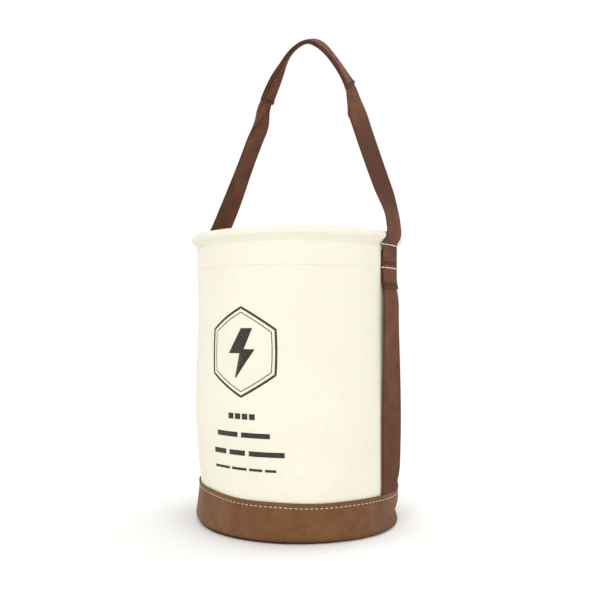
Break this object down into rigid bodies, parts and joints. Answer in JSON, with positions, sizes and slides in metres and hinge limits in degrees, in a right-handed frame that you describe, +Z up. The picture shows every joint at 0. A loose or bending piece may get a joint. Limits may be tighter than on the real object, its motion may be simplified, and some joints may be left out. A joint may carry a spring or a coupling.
{
  "type": "canvas tool bucket",
  "caption": "Round open-topped canvas tool bucket with a leather band and base, a hooped rim and a web carrying handle with a wrapped grip.",
  "frame": {"origin": "on the ground, under the middle of the base", "axes": "+Z up through the mouth; the side webs and the handle's ends are at +X (right) and -X (left); -Y is the printed front"},
  "size_m": [0.3294, 0.3236, 0.7443],
  "materials": {
    "canvas": "natural cotton duck, matte, plain weave",
    "webbing": "brown woven webbing, slight sheen",
    "leather": "brown suede, mottled nap",
    "white_thread": "waxed cream thread",
    "dark_thread": "dark brown bonded thread",
    "hoop_plastic": "black plastic tube",
    "board": "brown fibreboard",
    "binding": "woven cotton tape"
  },
  "bodies": {
    "bucket": {"canvas_wall": "canvas", "canvas_floor": "canvas", "leather_band": "leather", "leather_base": "leather", "floor_board": "board", "floor_binding": "binding", "rim_hoop": "hoop_plastic", "hoop_plug": "hoop_plastic", "right_side_web": "webbing", "left_side_web": "webbing", "right_handle_tab": "webbing", "left_handle_tab": "webbing", "rim_stitch": "white_thread", "hem_stitch": "white_thread", "band_stitch": "white_thread", "base_stitch": "white_thread", "wall_seam_stitch": "white_thread", "band_joint_stitch": "white_thread", "right_upper_tack": "dark_thread", "right_lower_tack": "dark_thread", "left_upper_tack": "dark_thread", "left_lower_tack": "dark_thread"},
    "handle_legs": {"right_handle_leg": "webbing", "left_handle_leg": "webbing"},
    "grip": {"grip_core": "webbing", "grip_wrap": "webbing", "grip_right_tack": "dark_thread", "grip_left_tack": "dark_thread", "grip_edge_stitch": "dark_thread"}
  },
  "joints": [
    {"name": "handle_swing", "type": "hinge", "parent": "bucket", "child": "handle_legs", "pos_m": [0, 0, 0.46], "axis": [1, 0, 0], "range_deg": [-90, 90]},
    {"name": "grip_fold", "type": "hinge", "parent": "handle_legs", "child": "grip", "pos_m": [0, 0, 0.653], "axis": [1, 0, 0], "range_deg": [-80, 80]}
  ]
}
